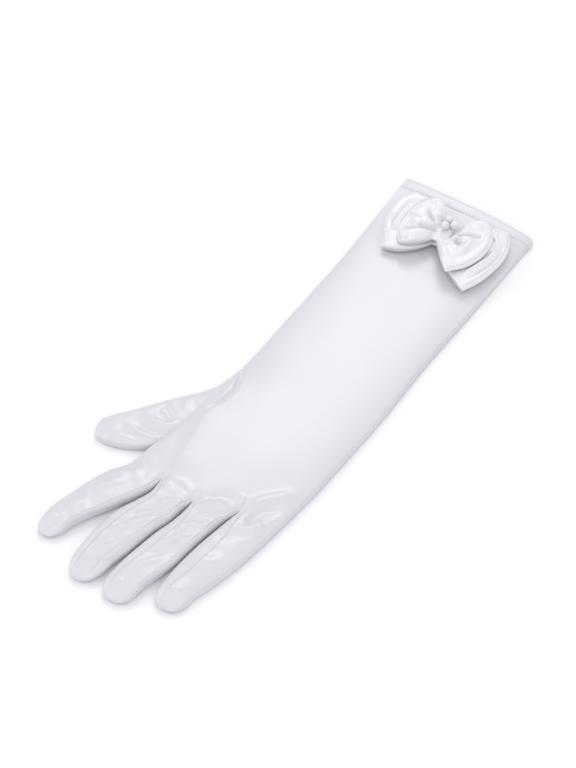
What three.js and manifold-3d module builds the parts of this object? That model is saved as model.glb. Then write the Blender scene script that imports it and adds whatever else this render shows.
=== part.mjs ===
// A long satin dress glove for the left hand, lying on its palm side with the back of the hand up.
// Millimetres. +X runs from the thumb to the little finger, +Y from the fingertips to the cuff, +Z up.
// The tables below use the hem's middle as y = 0; the finished group is moved so that its
// bounding box stands centred on the origin.

import * as THREE from "three";
import { mergeVertices } from "three/addons/utils/BufferGeometryUtils.js";
import Module from "manifold-3d";

const wasm = await Module();
wasm.setup();

// Driving dimensions
const WALL = 1.0; // cloth wall
const GAP = 0.3; // clearance between two sewn pieces
const HEM_WIDTH = 5.5; // turned hem at the arm opening
const HEM_WALL = 1.6; // hem cloth is doubled
const EDGE_Z = 3.0; // height of the folded side edges above the table
const SEAM_LOW_Z = 1.5; // fourchette's palm-side seam
const SEAM_HIGH_Z = 6.2; // fourchette's back-side seam
const FOURCHETTE_END = 9.5; // from the fourchette's end to the fingertip
const FRONT_Y = -241.5; // cloth between the finger roots
const BEYOND = 5; // how far a cutting form runs past what it cuts
const BEAD_RADIUS = 2.4;
const BEAD_ANGLES = [125, 245, 5]; // degrees round the middle of the three pearls
const BEADS_FROM_BOW = { x: 0.2, y: 2.6 };
const ARM_TOP_Z = 7.6; // top of the arm under the bow

// The lying tube's section: how square its sides are, how full its dome is, how far the flat
// underside reaches, and how much more the cavity draws in at the sides than at the top.
const SECTION = { squareness: 0.85, fullness: 0.8, flatness: 1.45, sideInset: 1.2 };
const MIN_INSIDE = 0.6; // least height of the cavity towards a fingertip

// Arm and hand, one row a section: side edges and height of the lying tube.
const HAND = [
  { y: 0, left: -39.6, right: 39.6, height: 7.6 },
  { y: -35, left: -39.2, right: 39.3, height: 7.6 },
  { y: -75, left: -38.5, right: 38.7, height: 7.8 },
  { y: -115, left: -38.2, right: 38.4, height: 8.2 },
  { y: -150, left: -38.1, right: 38.6, height: 8.6 },
  { y: -164, left: -36.6, right: 38.5, height: 8.8 },
  { y: -177, left: -33.0, right: 38.1, height: 9.0 },
  { y: -188, left: -34.2, right: 37.7, height: 9.2 },
  { y: -201, left: -39.4, right: 37.3, height: 9.3 },
  { y: -215, left: -44.4, right: 36.4, height: 9.2 },
  { y: -229, left: -48.0, right: 35.4, height: 8.8 },
  { y: -237, left: -49.4, right: 34.6, height: 8.3 },
];

// One row a section of each finger: middle of the section, its width and its height. The first row
// is hidden in the hand, and the taller rows beside lower ones are the folds across the finger.
const INDEX = [
  { x: -36.0, y: -218, width: 13.0, height: 6.2 },
  { x: -38.6, y: -233, width: 20.0, height: 8.4 },
  { x: -40.4, y: -243, width: 20.8, height: 8.9 },
  { x: -43.8, y: -252, width: 22.2, height: 8.0 },
  { x: -47.6, y: -262, width: 21.8, height: 8.5 },
  { x: -52.0, y: -273, width: 20.2, height: 7.8 },
  { x: -55.9, y: -283, width: 18.0, height: 8.0 },
  { x: -59.2, y: -292, width: 14.6, height: 7.4 },
  { x: -61.4, y: -299, width: 9.0, height: 6.2 },
  { x: -62.3, y: -302.4, width: 3.6, height: 4.4 },
];
const MIDDLE = [
  { x: -15.6, y: -218, width: 13.0, height: 6.4 },
  { x: -17.0, y: -234, width: 18.6, height: 8.6 },
  { x: -19.0, y: -245, width: 20.0, height: 9.1 },
  { x: -20.8, y: -254, width: 19.6, height: 8.0 },
  { x: -23.6, y: -265, width: 20.2, height: 8.4 },
  { x: -26.4, y: -276, width: 20.6, height: 7.8 },
  { x: -28.6, y: -288, width: 20.4, height: 8.0 },
  { x: -30.2, y: -299, width: 18.6, height: 7.6 },
  { x: -31.2, y: -307, width: 15.0, height: 7.2 },
  { x: -31.7, y: -312, width: 9.6, height: 6.0 },
  { x: -31.9, y: -315.2, width: 4.0, height: 4.4 },
];
const RING = [
  { x: 3.6, y: -218, width: 13.0, height: 6.4 },
  { x: 3.0, y: -233, width: 18.8, height: 8.6 },
  { x: 2.0, y: -244, width: 20.2, height: 9.1 },
  { x: -0.2, y: -255, width: 19.0, height: 8.0 },
  { x: -2.6, y: -267, width: 19.2, height: 8.4 },
  { x: -4.8, y: -279, width: 20.0, height: 7.8 },
  { x: -6.6, y: -290, width: 19.6, height: 8.0 },
  { x: -7.9, y: -299, width: 18.2, height: 7.6 },
  { x: -9.2, y: -308, width: 14.4, height: 7.2 },
  { x: -9.9, y: -313, width: 9.2, height: 6.0 },
  { x: -10.2, y: -316, width: 4.0, height: 4.4 },
];
const LITTLE = [
  { x: 23.0, y: -214, width: 13.0, height: 6.2 },
  { x: 24.2, y: -229, width: 19.6, height: 8.3 },
  { x: 23.6, y: -241, width: 20.4, height: 8.9 },
  { x: 21.8, y: -252, width: 21.2, height: 8.0 },
  { x: 19.8, y: -264, width: 21.0, height: 8.4 },
  { x: 17.6, y: -276, width: 20.0, height: 7.8 },
  { x: 15.8, y: -289, width: 17.4, height: 7.8 },
  { x: 14.8, y: -298, width: 13.6, height: 7.2 },
  { x: 14.5, y: -303, width: 9.2, height: 6.0 },
  { x: 14.4, y: -306.3, width: 3.8, height: 4.4 },
];
// The thumb's sections run from its outer edge to its inner edge, which starts inside the hand.
const THUMB = [
  { outerX: -35.2, outerY: -158, innerX: -24.0, innerY: -164, height: 5.6 },
  { outerX: -38.2, outerY: -170, innerX: -24.0, innerY: -184, height: 6.6 },
  { outerX: -43.6, outerY: -180, innerX: -28.0, innerY: -200, height: 7.0 },
  { outerX: -50.4, outerY: -190, innerX: -33.0, innerY: -212, height: 7.8 },
  { outerX: -58.2, outerY: -199.6, innerX: -40.0, innerY: -224, height: 7.0 },
  { outerX: -65.4, outerY: -210, innerX: -48.4, innerY: -231.6, height: 7.8 },
  { outerX: -71.6, outerY: -218, innerX: -56.6, innerY: -236, height: 7.2 },
  { outerX: -76.0, outerY: -223.6, innerX: -64.0, innerY: -239, height: 7.2 },
  { outerX: -77.8, outerY: -228.4, innerX: -69.6, innerY: -240, height: 6.2 },
  { outerX: -78.2, outerY: -232.4, innerX: -74.0, innerY: -239.4, height: 4.6 },
];

// The bow's place on the arm, and its two ribbons, stacked and pinched by the knot.
const BOW = { x: 3.4, y: -30.0 };
const WAIST_HALF = 5.5; // half width of a ribbon where the knot gathers it
const KNOT = { halfWidth: 3.8, wall: 1.0, bulge: 0.35, squareness: 0.35, clear: 0.8 };
const FREE_STATIONS = [0, 0.12, 0.3, 0.5, 0.7, 0.85, 0.94, 0.985]; // parts of a loop's free length
const FOLD_START = 0.85; // where the two layers begin to turn into each other

// One row a part of the loop's free length: heights above the arm of its lower and upper layer.
const LOWER_LAYERS = [
  { out: 0.0, low: 1.9, high: 3.7 },
  { out: 0.2, low: 1.5, high: 4.2 },
  { out: 0.45, low: 1.0, high: 5.4 },
  { out: 0.7, low: 0.9, high: 6.4 },
  { out: 0.9, low: 1.0, high: 6.4 },
  { out: 1.0, low: 1.6, high: 5.6 },
];
const UPPER_LAYERS = [
  { out: 0.0, low: 5.0, high: 6.8 },
  { out: 0.2, low: 5.8, high: 9.6 },
  { out: 0.45, low: 7.1, high: 12.6 },
  { out: 0.7, low: 8.2, high: 13.4 },
  { out: 0.9, low: 8.6, high: 12.6 },
  { out: 1.0, low: 9.0, high: 11.8 },
];
// One row a line along the ribbon, across its width from the finger edge to the cuff edge:
// its reach to the thumb side and to the little-finger side, and its distance from the bow's middle.
const LOWER_LINES = [
  { across: -1, thumbReach: 25.2, littleReach: 26.6, thumbY: -25.2, littleY: -26.6 },
  { across: -0.6, thumbReach: 29.9, littleReach: 31.2, thumbY: -16.0, littleY: -16.0 },
  { across: -0.2, thumbReach: 33.4, littleReach: 33.6, thumbY: -6.0, littleY: -5.5 },
  { across: 0.2, thumbReach: 35.0, littleReach: 34.2, thumbY: 3.5, littleY: 4.0 },
  { across: 0.6, thumbReach: 35.0, littleReach: 31.6, thumbY: 13.0, littleY: 13.2 },
  { across: 1, thumbReach: 32.4, littleReach: 27.1, thumbY: 21.0, littleY: 21.4 },
];
const UPPER_LINES = [
  { across: -1, thumbReach: 16.9, littleReach: 15.4, thumbY: -21.0, littleY: -26.5 },
  { across: -0.6, thumbReach: 20.6, littleReach: 21.9, thumbY: -15.8, littleY: -18.5 },
  { across: -0.2, thumbReach: 23.4, littleReach: 25.6, thumbY: -7.0, littleY: -9.5 },
  { across: 0.2, thumbReach: 23.8, littleReach: 26.9, thumbY: 2.0, littleY: -0.2 },
  { across: 0.6, thumbReach: 22.0, littleReach: 24.6, thumbY: 10.5, littleY: 9.0 },
  { across: 1, thumbReach: 17.4, littleReach: 19.1, thumbY: 17.5, littleY: 16.5 },
];
const PLEATS = 2.5; // waves across the ribbon at the knot
const PLEAT_HEIGHT = 0.9;
const PLEAT_REACH = 0.83; // part of the free length where the pleats have faded out
const FAN_SHAPE = 0.8; // how soon the gathered cloth fans out from the knot

// Resolution of the faceted forms
const HAND_SIDES = 28;
const FINGER_SIDES = 16;
const RIBBON_LINES = 9;
const KNOT_SIDES = 16;

const lerp = THREE.MathUtils.lerp;

// The value of a column where the table's key column has this value, straight between rows.
function column(table, key, name, at) {
  const rising = table[table.length - 1][key] > table[0][key];
  const last = table.length - 2;
  let i = 0;
  while (i < last && (rising ? at > table[i + 1][key] : at < table[i + 1][key])) i++;
  const t = (at - table[i][key]) / (table[i + 1][key] - table[i][key]);
  return lerp(table[i][name], table[i + 1][name], THREE.MathUtils.clamp(t, 0, 1));
}

// A closed ring of a lying cloth tube: flat underneath, domed on top, with soft side edges.
// inset moves the whole ring inwards, for the cavity, or outwards where it is negative.
function ring(middle, side, width, height, sides, inset, low = inset) {
  const half = Math.max(width / 2 - SECTION.sideInset * inset, MIN_INSIDE / 2);
  const top = Math.max(height - inset, low + MIN_INSIDE);
  const edge = THREE.MathUtils.clamp(EDGE_Z, low + MIN_INSIDE / 2, (low + top) / 2);
  const points = [];
  for (let i = 0; i < sides; i++) {
    const turn = (2 * Math.PI * i) / sides;
    const c = Math.cos(turn);
    const s = Math.sin(turn);
    const across = half * Math.sign(c) * Math.abs(c) ** SECTION.squareness;
    const domed = edge + (top - edge) * Math.max(s, 0) ** SECTION.fullness;
    const under = edge - (edge - low) * Math.min(1, SECTION.flatness * Math.max(-s, 0));
    const z = s >= 0 ? domed : under;
    points.push(new THREE.Vector3(middle.x + side.x * across, middle.y + side.y * across, z));
  }
  return points;
}

// A closed solid through rings of equal count, with flat ends.
function loft(rings) {
  const n = rings[0].length;
  const positions = rings.flatMap((points) => points.flatMap((p) => [p.x, p.y, p.z]));
  const index = [];
  for (let r = 0; r + 1 < rings.length; r++) {
    for (let i = 0; i < n; i++) {
      const a = r * n + i;
      const b = r * n + ((i + 1) % n);
      index.push(a, b, b + n, a, b + n, a + n);
    }
  }
  for (const [r, turned] of [[0, true], [rings.length - 1, false]]) {
    const middle = rings[r].reduce((sum, p) => sum.add(p), new THREE.Vector3()).divideScalar(n);
    const centre = positions.length / 3;
    positions.push(middle.x, middle.y, middle.z);
    for (let i = 0; i < n; i++) {
      const a = r * n + i;
      const b = r * n + ((i + 1) % n);
      index.push(...(turned ? [centre, b, a] : [centre, a, b]));
    }
  }
  return solid(positions, index);
}

// A manifold solid from positions and triangles, turned to face out.
function solid(positions, index) {
  const geometry = new THREE.BufferGeometry();
  geometry.setAttribute("position", new THREE.Float32BufferAttribute(positions, 3));
  geometry.setIndex(index);
  const merged = mergeVertices(geometry, 1e-4);
  const vertProperties = merged.attributes.position.array;
  const triVerts = new Uint32Array(merged.index.array);
  const made = new wasm.Manifold(new wasm.Mesh({ numProp: 3, vertProperties, triVerts }));
  if (made.volume() > 0) return made;
  for (let i = 0; i < triVerts.length; i += 3) {
    [triVerts[i], triVerts[i + 1]] = [triVerts[i + 1], triVerts[i]];
  }
  return new wasm.Manifold(new wasm.Mesh({ numProp: 3, vertProperties, triVerts }));
}

// The arm and hand between two places along y, its ring moved by inset.
function handTube(yStart, yEnd, inset, low = inset) {
  const rows = HAND.map((row) => row.y).filter((y) => y < yStart && y > yEnd);
  const rings = [yStart, ...rows, yEnd].map((y) => {
    const left = column(HAND, "y", "left", y);
    const right = column(HAND, "y", "right", y);
    const middle = new THREE.Vector2((left + right) / 2, y);
    const side = new THREE.Vector2(1, 0);
    return ring(middle, side, right - left, column(HAND, "y", "height", y), HAND_SIDES, inset, low);
  });
  return loft(rings);
}

// The thumb through its table's rows.
function thumbTube(inset) {
  const tip = THUMB.length - 1;
  const rings = THUMB.map((row, i) => {
    const outer = new THREE.Vector2(row.outerX, row.outerY);
    const inner = new THREE.Vector2(row.innerX, row.innerY);
    const side = inner.clone().sub(outer).normalize();
    const along = new THREE.Vector2(side.y, -side.x);
    const middle = outer.clone().add(inner).multiplyScalar(0.5);
    middle.addScaledVector(along, SECTION.sideInset * inset * (i / tip) ** 3);
    return ring(middle, side, outer.distanceTo(inner), row.height, FINGER_SIDES, inset);
  });
  return loft(rings);
}

// A finger along its table's rows; its tip moves back by the inset.
function fingerTube(rows, inset) {
  const path = rows.map((row) => new THREE.Vector2(row.x, row.y));
  const rings = rows.map((row, i) => {
    const before = path[Math.max(i - 1, 0)];
    const after = path[Math.min(i + 1, path.length - 1)];
    const along = after.clone().sub(before).normalize();
    const side = new THREE.Vector2(-along.y, along.x);
    const drawnIn = SECTION.sideInset * inset * (i / (rows.length - 1)) ** 3;
    const middle = path[i].clone().addScaledVector(along, -drawnIn);
    return ring(middle, side, row.width, row.height, FINGER_SIDES, inset);
  });
  return loft(rings);
}

// The band between two fingers' middles, from the crotch to near both tips, and between two heights.
function gapBand(rowsA, rowsB, crotchY, low, high, shorter) {
  const trimmed = (rows) => {
    const tip = rows[rows.length - 1];
    const end = tip.y + FOURCHETTE_END + shorter;
    const kept = rows.filter((row) => row.y < crotchY && row.y > end);
    const start = { x: column(rows, "y", "x", crotchY), y: crotchY };
    return [start, ...kept, { x: column(rows, "y", "x", end), y: end }];
  };
  const outline = [...trimmed(rowsA), ...trimmed(rowsB).reverse()];
  const shape = new THREE.Shape(outline.map((p) => new THREE.Vector2(p.x, p.y)));
  const geometry = new THREE.ExtrudeGeometry(shape, { depth: high - low, bevelEnabled: false });
  geometry.translate(0, 0, low);
  geometry.deleteAttribute("normal");
  geometry.deleteAttribute("uv");
  const merged = mergeVertices(geometry, 1e-4);
  return solid(Array.from(merged.attributes.position.array), Array.from(merged.index.array));
}

// The stations round a ribbon's loop: its side of the knot, how far out along the free cloth, and
// whether it lies in the upper layer, the lower layer or the fold between them.
function ribbonStations() {
  const inward = [...FREE_STATIONS].reverse().map((free) => ({ side: 1, free }));
  const outward = FREE_STATIONS.map((free) => ({ side: -1, free }));
  const across = [...inward, { side: 0, free: 0 }, ...outward];
  const upper = across.map((station) => ({ ...station, layer: 1 }));
  const lower = [...across].reverse().map((station) => ({ ...station, layer: -1 }));
  return [{ side: 1, free: 1, layer: 0 }, ...upper, { side: -1, free: 1, layer: 0 }, ...lower];
}

// One ribbon of the bow: a closed band of cloth whose two ends fold over and whose middle is gathered.
function ribbon(lines, layers) {
  const stations = ribbonStations();
  const count = stations.length;
  const clear = KNOT.halfWidth + KNOT.clear;
  const grid = stations.map(({ side, free, layer }) => {
    const low = column(layers, "out", "low", free);
    const high = column(layers, "out", "high", free);
    const foldPart = Math.max(0, free - FOLD_START) / (1 - FOLD_START);
    const apart = Math.sqrt(Math.max(0, 1 - foldPart ** 2));
    const fan = Math.sin((Math.PI / 2) * free ** FAN_SHAPE);
    const pleated = layer > 0 ? PLEAT_HEIGHT * Math.sin(Math.PI * Math.min(1, free / PLEAT_REACH)) : 0;
    return Array.from({ length: RIBBON_LINES }, (_, line) => {
      const across = lerp(-1, 1, line / (RIBBON_LINES - 1));
      const thumbSide = side < 0;
      const reach = column(lines, "across", thumbSide ? "thumbReach" : "littleReach", across);
      const endY = column(lines, "across", thumbSide ? "thumbY" : "littleY", across);
      const z = (low + high) / 2 + (layer * apart * (high - low)) / 2;
      return new THREE.Vector3(
        BOW.x + side * lerp(clear, reach, free),
        BOW.y + lerp(WAIST_HALF * across, endY, fan),
        ARM_TOP_Z + GAP + z + pleated * Math.sin(PLEATS * Math.PI * across),
      );
    });
  });
  const positions = [];
  for (const offset of [WALL / 2, -WALL / 2]) {
    grid.forEach((row, step) => {
      row.forEach((point, line) => {
        const along = grid[(step + 1) % count][line].clone().sub(grid[(step + count - 1) % count][line]);
        const next = row[Math.min(line + 1, RIBBON_LINES - 1)];
        const wide = next.clone().sub(row[Math.max(line - 1, 0)]);
        const p = point.clone().addScaledVector(wide.cross(along).normalize(), offset);
        positions.push(p.x, p.y, p.z);
      });
    });
  }
  const at = (face, step, line) => (face * count + (step % count)) * RIBBON_LINES + line;
  const index = [];
  const quad = (a, b, c, d) => index.push(a, b, c, a, c, d);
  const last = RIBBON_LINES - 1;
  for (let step = 0; step < count; step++) {
    for (let line = 0; line < last; line++) {
      quad(at(0, step, line), at(0, step + 1, line), at(0, step + 1, line + 1), at(0, step, line + 1));
      quad(at(1, step, line), at(1, step, line + 1), at(1, step + 1, line + 1), at(1, step + 1, line));
    }
    quad(at(0, step, 0), at(1, step, 0), at(1, step + 1, 0), at(0, step + 1, 0));
    quad(at(0, step, last), at(0, step + 1, last), at(1, step + 1, last), at(1, step, last));
  }
  return solid(positions, index);
}

// The knot: a strip of cloth wrapped once round the gathered middles of both ribbons.
function knot() {
  const low = ARM_TOP_Z + GAP + LOWER_LAYERS[0].low - WALL / 2 - GAP;
  const high = ARM_TOP_Z + GAP + UPPER_LAYERS[0].high + WALL / 2 + GAP;
  const halfY = WAIST_HALF + WALL / 2 + 2 * GAP;
  const wrap = (grow, stretch) =>
    loft(
      [-1, -0.6, 0.6, 1].map((part) => {
        const bulge = grow > 0 && Math.abs(part) < 1 ? KNOT.bulge : 0;
        return Array.from({ length: KNOT_SIDES }, (_, i) => {
          const turn = (2 * Math.PI * (i + 0.5)) / KNOT_SIDES;
          const c = Math.cos(turn);
          const s = Math.sin(turn);
          const up = (high - low) / 2 + grow + (s > 0 ? bulge : 0);
          return new THREE.Vector3(
            BOW.x + part * KNOT.halfWidth * stretch,
            BOW.y + (halfY + grow + bulge) * Math.sign(c) * Math.abs(c) ** KNOT.squareness,
            (low + high) / 2 + up * Math.sign(s) * Math.abs(s) ** KNOT.squareness,
          );
        });
      }),
    );
  return { made: wrap(KNOT.wall, 1).subtract(wrap(0, 1.2)), top: high + KNOT.wall + KNOT.bulge };
}

const materials = {
  satin: new THREE.MeshStandardMaterial({ color: 0xf1f1f6, roughness: 0.34, metalness: 0 }),
  ribbonSatin: new THREE.MeshStandardMaterial({ color: 0xf4f4f8, roughness: 0.3, metalness: 0 }),
  pearl: new THREE.MeshStandardMaterial({ color: 0xf6f3ee, roughness: 0.15, metalness: 0 }),
};

const group = new THREE.Group();

function add(name, made, material) {
  const mesh = made.getMesh();
  const geometry = new THREE.BufferGeometry();
  geometry.setAttribute("position", new THREE.BufferAttribute(new Float32Array(mesh.vertProperties), 3));
  geometry.setIndex(new THREE.BufferAttribute(new Uint32Array(mesh.triVerts), 1));
  geometry.computeVertexNormals();
  const piece = new THREE.Mesh(geometry, material);
  piece.name = name;
  group.add(piece);
  return piece;
}

// The hollow form of the hand, its four fingers and the arm, before it is cut into its sewn pieces
const fingers = [INDEX, MIDDLE, RING, LITTLE];
const crotches = [-238.0, -240.5, -236.5];
let outside = handTube(-HEM_WIDTH - GAP, FRONT_Y, 0);
let inside = handTube(BEYOND, FRONT_Y + SECTION.sideInset * WALL, WALL);
for (const rows of fingers) {
  outside = outside.add(fingerTube(rows, 0));
  inside = inside.add(fingerTube(rows, WALL));
}
const shell = outside.subtract(inside);

// The thumb is sewn to a long hole in the hand's edge.
const thumbInside = thumbTube(WALL);
const besideThumb = handTube(THUMB[0].outerY + BEYOND, FRONT_Y, -GAP).add(fingerTube(INDEX, -GAP));
const thumb = thumbTube(0).subtract(thumbInside).subtract(besideThumb);
let trank = shell.subtract(thumbInside);

// Fourchettes: the strips that join the back and the palm side between two fingers
const names = ["fourchette_index_middle", "fourchette_middle_ring", "fourchette_ring_little"];
names.forEach((name, i) => {
  const [a, b, y] = [fingers[i], fingers[i + 1], crotches[i]];
  add(name, shell.intersect(gapBand(a, b, y, SEAM_LOW_Z, SEAM_HIGH_Z, 0)), materials.satin);
  const opening = gapBand(a, b, y + GAP, SEAM_LOW_Z - GAP, SEAM_HIGH_Z + GAP, -GAP);
  trank = trank.subtract(opening);
});
add("trank", trank, materials.satin);
add("thumb", thumb, materials.satin);

// The turned hem round the arm opening
const hemOutside = handTube(0, -HEM_WIDTH, WALL - HEM_WALL, 0);
const hemInside = handTube(BEYOND, -HEM_WIDTH - BEYOND, WALL);
add("cuff_hem", hemOutside.subtract(hemInside), materials.satin);

// The bow: two stacked ribbons and the knot that gathers them
add("bow_lower_ribbon", ribbon(LOWER_LINES, LOWER_LAYERS), materials.ribbonSatin);
add("bow_upper_ribbon", ribbon(UPPER_LINES, UPPER_LAYERS), materials.ribbonSatin);
const wrapped = knot();
add("bow_knot", wrapped.made, materials.ribbonSatin);

// Three pearls in a triangle, each touching the other two
BEAD_ANGLES.forEach((degrees, i) => {
  const angle = THREE.MathUtils.degToRad(degrees);
  const out = (2 * BEAD_RADIUS + GAP) / Math.sqrt(3);
  const bead = new THREE.Mesh(new THREE.SphereGeometry(BEAD_RADIUS, 14, 9), materials.pearl);
  bead.name = `pearl_${i + 1}`;
  bead.position.set(
    BOW.x + BEADS_FROM_BOW.x + out * Math.cos(angle),
    BOW.y + BEADS_FROM_BOW.y + out * Math.sin(angle),
    wrapped.top + GAP + BEAD_RADIUS,
  );
  group.add(bead);
});

// Stand the glove centred on the origin.
const box = new THREE.Box3().setFromObject(group);
const centre = box.getCenter(new THREE.Vector3());
group.position.set(-centre.x, -centre.y, -box.min.z);

export default group;
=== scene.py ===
import math

import bmesh
import bpy
import numpy as np
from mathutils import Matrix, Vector


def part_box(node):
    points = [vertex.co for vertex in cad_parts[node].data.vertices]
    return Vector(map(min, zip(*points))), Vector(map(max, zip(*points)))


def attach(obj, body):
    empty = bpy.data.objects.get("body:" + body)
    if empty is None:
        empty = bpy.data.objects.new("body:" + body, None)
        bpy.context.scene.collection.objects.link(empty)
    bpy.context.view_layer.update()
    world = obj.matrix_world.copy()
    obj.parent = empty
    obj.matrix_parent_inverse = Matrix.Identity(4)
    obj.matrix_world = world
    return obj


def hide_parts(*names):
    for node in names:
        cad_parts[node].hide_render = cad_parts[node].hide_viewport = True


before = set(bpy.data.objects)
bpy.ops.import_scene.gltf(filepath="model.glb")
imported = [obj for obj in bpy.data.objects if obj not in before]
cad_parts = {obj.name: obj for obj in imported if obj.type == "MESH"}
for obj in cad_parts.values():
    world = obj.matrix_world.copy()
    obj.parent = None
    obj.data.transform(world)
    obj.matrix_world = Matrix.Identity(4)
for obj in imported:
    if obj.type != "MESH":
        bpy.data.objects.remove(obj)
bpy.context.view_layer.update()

MM = 0.001
WELD = 2e-6  # points nearer to each other than this, in metres, become one
hem_low, hem_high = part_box("cuff_hem")
SHIFT = np.array([(hem_low.x + hem_high.x) / 2, hem_high.y, 0.0])


# Numbers and curves

def columns(names, *rows):
    """A short table with named columns."""
    return dict(zip(names.split(), np.array(rows, float).T))


def smoothstep(low, high, x):
    t = np.clip((np.asarray(x, float) - low) / (high - low), 0, 1)
    return t * t * (3 - 2 * t)


def mix(a, b, t):
    return a + (b - a) * t


def bell(x, middle, width):
    return np.exp(-(((x - middle) / width) ** 2))


def run_along(points):
    """Distance of each point of a line from its first one, along the line."""
    steps = np.linalg.norm(np.diff(points, axis=0), axis=1)
    return np.concatenate([[0], np.cumsum(steps)])


def apart(points, others):
    """Distances between points as seen from above."""
    return np.linalg.norm(points[:, :, :2] - others[:, :, :2], axis=2)


def spline(x, y, at):
    """A smooth curve through the points (x, y), with x rising."""
    slope = np.gradient(y, x, axis=0)
    at = np.clip(at, x[0], x[-1])
    i = np.clip(np.searchsorted(x, at) - 1, 0, len(x) - 2)
    step = x[i + 1] - x[i]
    t = (at - x[i]) / step
    if np.ndim(y) > 1:
        t, step = t[:, None], step[:, None]
    start, end = slope[i] * step, slope[i + 1] * step
    rise = t * t * (3 - 2 * t)
    return y[i] * (1 - rise) + y[i + 1] * rise + t * (1 - t) * ((1 - t) * start - t * end)


def read(table, name, at):
    """A column of a table at some values of its first column."""
    return spline(next(iter(table.values())), table[name], at)


def crowded_ends(count):
    """Rising parts from 0 to 1 that crowd together at both ends."""
    return (1 - np.cos(np.pi * np.arange(count + 1) / count)) / 2


def waves(x, y, seed, count, shortest, longest):
    """Soft irregular undulation between about -1 and 1, always the same for one seed."""
    draw = np.random.default_rng(seed)
    total = np.zeros(np.shape(x))
    for _ in range(count):
        length = draw.uniform(shortest, longest)
        turn = draw.uniform(0, math.tau)
        phase = draw.uniform(0, math.tau)
        total += np.sin(math.tau * (x * math.cos(turn) + y * math.sin(turn)) / length + phase)
    return total / math.sqrt(count)


# Meshes

def put(name, data):
    """Puts a mesh, a light or the camera into the scene."""
    thing = bpy.data.objects.new(name, data)
    bpy.context.scene.collection.objects.link(thing)
    return thing


def mesh_object(name, points, faces, material):
    mesh = bpy.data.meshes.new(name)
    mesh.from_pydata(points, [], faces)
    mesh.materials.append(material)
    return put(name, mesh)


def quads(rows, ring, first=0, spans=None, flip=False):
    """Faces of a grid of closed rings. spans are the columns that get faces, or None for all."""
    faces = []
    chosen = range(ring) if spans is None else spans
    for r in range(rows - 1):
        for c in chosen:
            a = first + r * ring + c
            b = first + r * ring + (c + 1) % ring
            face = (a, a + ring, b + ring, b)
            faces.append(face[::-1] if flip else face)
    return faces


class Shell:
    """Grids of closed rings that together make one mesh."""

    def __init__(self):
        self.points = []
        self.faces = []
        self.count = 0

    def add(self, grid, spans=None, flip=False):
        rows, ring = grid.shape[:2]
        self.faces += quads(rows, ring, self.count, spans, flip)
        self.points.append(grid.reshape(-1, 3))
        self.count += rows * ring

    def make(self, name, material, slot, nodes):
        """A smooth piece from points in the glove's frame, standing for the named CAD nodes."""
        placed = np.concatenate(self.points) * MM + SHIFT
        piece = mesh_object(name, placed.tolist(), self.faces, material)
        weld(piece.data)
        piece.data.polygons.foreach_set("use_smooth", [True] * len(piece.data.polygons))
        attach(piece, "root")
        if nodes:
            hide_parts(*nodes)
        return piece


def make_piece(name, grid, material, slot, nodes, flip=False):
    """A piece that is a single grid."""
    shell = Shell()
    shell.add(grid, flip=flip)
    return shell.make(name, material, slot, nodes)


def weld(mesh):
    """Joins points that lie on each other and drops the faces and points that this empties."""
    made = bmesh.new()
    made.from_mesh(mesh)
    bmesh.ops.remove_doubles(made, verts=made.verts, dist=WELD)
    loose = [v for v in made.verts if not v.link_faces]
    bmesh.ops.delete(made, geom=loose, context="VERTS")
    made.to_mesh(mesh)
    made.free()
    mesh.update()


def grid_normals(points):
    """Outward normals of a grid of closed rings, by its rows and columns."""
    down = np.gradient(points, axis=0)
    around = np.roll(points, -1, axis=1) - np.roll(points, 1, axis=1)
    normal = np.cross(down, around)
    length = np.linalg.norm(normal, axis=2, keepdims=True)
    return normal / np.maximum(length, 1e-9)


def node_box(node):
    """Middle and half size of a CAD node's box, in metres."""
    low, high = (np.array(corner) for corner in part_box(node))
    return (low + high) / 2, (high - low) / 2


# Folds

CURVE_POINTS = 28
FOLD_REACH = 3  # how many of its widths a fold is worked out to


def curve_through(points):
    points = np.array(points, float)
    key = run_along(points)
    return spline(key, points, np.linspace(0, key[-1], CURVE_POINTS))


def fold(x, y, points, height, width, other=None, fade=0.3):
    """A long ridge, or a valley where its height is negative, along a curve. other is its width
    on the right-hand side of the curve, and fade the part of its length that each end tapers."""
    path = curve_through(points)
    raised = np.zeros(np.shape(x))
    reach = FOLD_REACH * max(width, other or width)
    low, high = path.min(axis=0) - reach, path.max(axis=0) + reach
    near = (x > low[0]) & (x < high[0]) & (y > low[1]) & (y < high[1])
    px, py = x[near], y[near]
    best = np.full(px.shape, np.inf)
    part = np.zeros(px.shape)
    side = np.zeros(px.shape)
    for i in range(len(path) - 1):
        a, b = path[i], path[i + 1]
        along = b - a
        t = np.clip(((px - a[0]) * along[0] + (py - a[1]) * along[1]) / (along @ along), 0, 1)
        gap = np.hypot(px - a[0] - t * along[0], py - a[1] - t * along[1])
        closer = gap < best
        best = np.where(closer, gap, best)
        part = np.where(closer, (i + t) / (len(path) - 1), part)
        turn = along[0] * (py - a[1]) - along[1] * (px - a[0])
        side = np.where(closer, turn, side)
    spread = np.where(side < 0, other or width, width)
    ends = smoothstep(0, fade, part) * smoothstep(0, fade, 1 - part)
    raised[near] = height * bell(best, 0, spread) * ends
    return raised


def folded(x, y, folds):
    total = np.zeros(np.shape(x))
    for one in folds:
        total += fold(x, y, *one)
    return total


# The glove's form

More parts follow.
